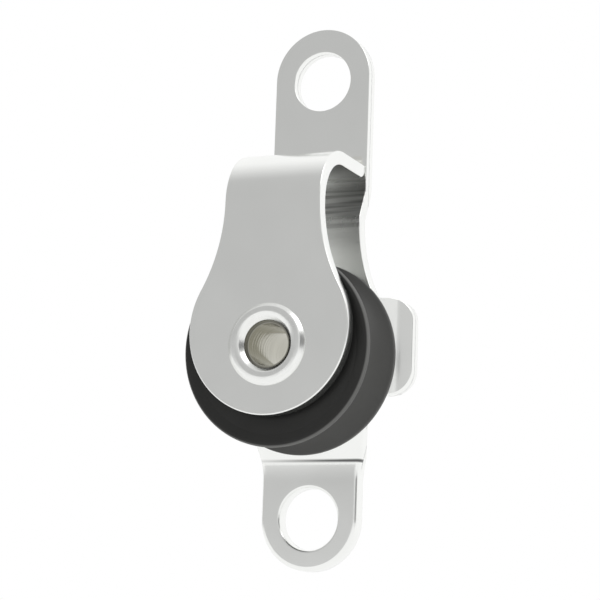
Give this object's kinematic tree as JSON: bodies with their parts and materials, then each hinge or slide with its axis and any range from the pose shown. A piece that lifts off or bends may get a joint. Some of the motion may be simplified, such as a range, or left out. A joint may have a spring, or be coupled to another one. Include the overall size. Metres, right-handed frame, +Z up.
{
  "type": "ball bearing block",
  "caption": "Upright block for small cord: grooved wheel on balls about a hollow rivet, between a welded pear-shaped front cheek and a stepped back plate with two screw lugs.",
  "frame": {"origin": "middle between the two screw holes, on the flat that lies against the mast or deck", "axes": "+Y out of the back into the mast or deck, with the block standing forward at -Y; +Z up along the plate, towards the end where the front cheek closes over the cord; +X to the right seen from the front"},
  "size_m": [0.0164, 0.0105, 0.0431],
  "materials": {
    "plate_steel": "polished stainless sheet",
    "rivet_steel": "turned and rolled stainless",
    "race_steel": "turned",
    "wheel_plastic": "turned black plastic",
    "ball_steel": "polished"
  },
  "bodies": {
    "housing": {"back_plate": "plate_steel", "front_cheek": "plate_steel", "weld_bead": "plate_steel", "hollow_rivet": "rivet_steel", "front_race": "race_steel", "rear_race": "race_steel"},
    "sheave": {"wheel": "wheel_plastic"},
    "ball_row": {"ball_01": "ball_steel", "ball_02": "ball_steel", "ball_03": "ball_steel", "ball_04": "ball_steel", "ball_05": "ball_steel", "ball_06": "ball_steel", "ball_07": "ball_steel", "ball_08": "ball_steel", "ball_09": "ball_steel", "ball_10": "ball_steel", "ball_11": "ball_steel", "ball_12": "ball_steel", "ball_13": "ball_steel", "ball_14": "ball_steel"}
  },
  "joints": [
    {"name": "sheave_spin", "type": "hinge", "parent": "housing", "child": "sheave", "pos_m": [0, -0.0057, -0.0052], "axis": [0, 1, 0], "continuous": true},
    {"name": "ball_orbit", "type": "hinge", "parent": "housing", "child": "ball_row", "pos_m": [0, -0.0057, -0.0052], "axis": [0, 1, 0], "continuous": true}
  ],
  "couplings": [
    {"joint": "ball_orbit", "follows": "sheave_spin", "ratio": 0.6013}
  ]
}
